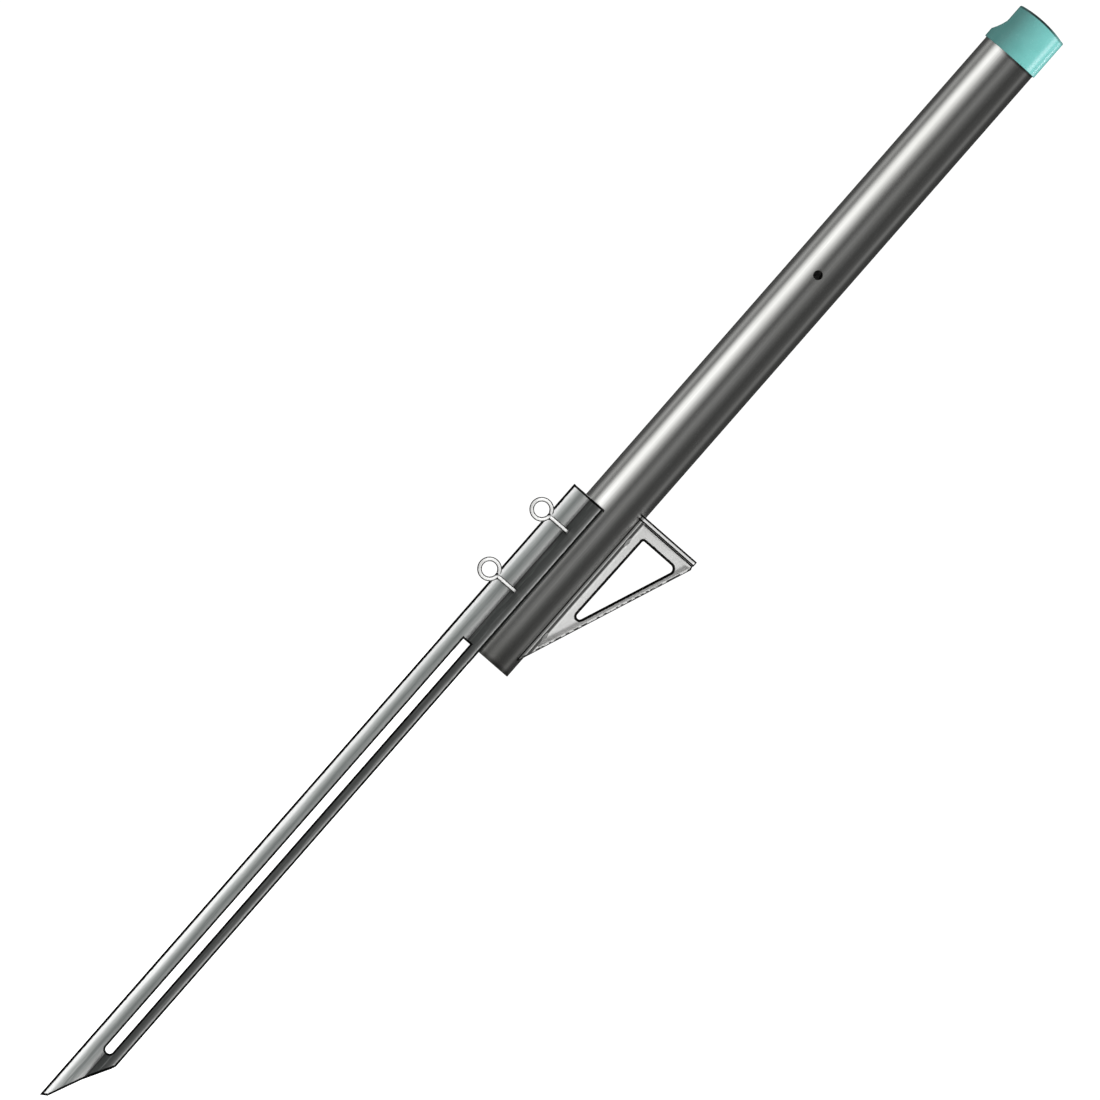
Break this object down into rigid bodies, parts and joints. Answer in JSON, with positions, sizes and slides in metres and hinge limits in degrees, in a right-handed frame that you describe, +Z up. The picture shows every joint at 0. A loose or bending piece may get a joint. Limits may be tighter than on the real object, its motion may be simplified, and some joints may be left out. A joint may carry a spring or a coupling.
{
  "type": "sand spike",
  "caption": "Surf rod holder: a rod tube with a notched mouth cap and a triangular foot step, bolted to a long slotted angle spike with an oblique point.",
  "frame": {"origin": "on the rod tube's axis, in the plane of the tube's lower end, which is the sand line once the spike is trodden in", "axes": "+Z up the tube's axis, from the spike's point to the rod's mouth; +X out along the foot step; the angle spike lies on the -X, -Y side"},
  "size_m": [0.137, 0.0943, 1.2191],
  "materials": {
    "tube": "drawn tube, brushed along its length, semi-bright",
    "angle": "mill finish with light drawing lines",
    "cap": "dip-moulded seafoam vinyl, semi-gloss",
    "bolt": "bright zinc plate",
    "sleeve": "clear vinyl tubing, slightly cloudy",
    "nut": "bright zinc plate",
    "bracket": "cast and shot-blasted, matt light grey",
    "rivet": "plain alloy, worn bright"
  },
  "bodies": {
    "root": {"rod_tube": "tube", "top_cap": "cap", "spike_angle": "angle", "nut_plate": "nut", "hex_nut_lower": "nut", "hex_nut_upper": "nut", "foot_bracket": "bracket", "bracket_rivet_front_lower": "rivet", "bracket_rivet_front_upper": "rivet", "bracket_rivet_back_lower": "rivet", "bracket_rivet_back_upper": "rivet"},
    "sleeve_lower": {"butt_sleeve_lower": "sleeve"},
    "bolt_lower": {"eye_bolt_lower": "bolt"},
    "sleeve_upper": {"butt_sleeve_upper": "sleeve"},
    "bolt_upper": {"eye_bolt_upper": "bolt"}
  },
  "joints": [
    {"name": "bolt_travel_lower", "type": "slide", "parent": "root", "child": "sleeve_lower", "axis": [-0.6428, -0.766, 0], "range_m": [0, 0.0028]},
    {"name": "bolt_turn_lower", "type": "hinge", "parent": "sleeve_lower", "child": "bolt_lower", "pos_m": [-0.01736, -0.02313, 0.058], "axis": [-0.6428, -0.766, 0], "range_deg": [0, 1440]},
    {"name": "bolt_travel_upper", "type": "slide", "parent": "root", "child": "sleeve_upper", "axis": [-0.6428, -0.766, 0], "range_m": [0, 0.0028]},
    {"name": "bolt_turn_upper", "type": "hinge", "parent": "sleeve_upper", "child": "bolt_upper", "pos_m": [-0.01736, -0.02313, 0.1237], "axis": [-0.6428, -0.766, 0], "range_deg": [0, 1440]}
  ],
  "couplings": [
    {"joint": "bolt_turn_lower", "follows": "bolt_travel_lower", "rad_per_m": 8975.9},
    {"joint": "bolt_turn_upper", "follows": "bolt_travel_upper", "rad_per_m": 8975.9}
  ]
}
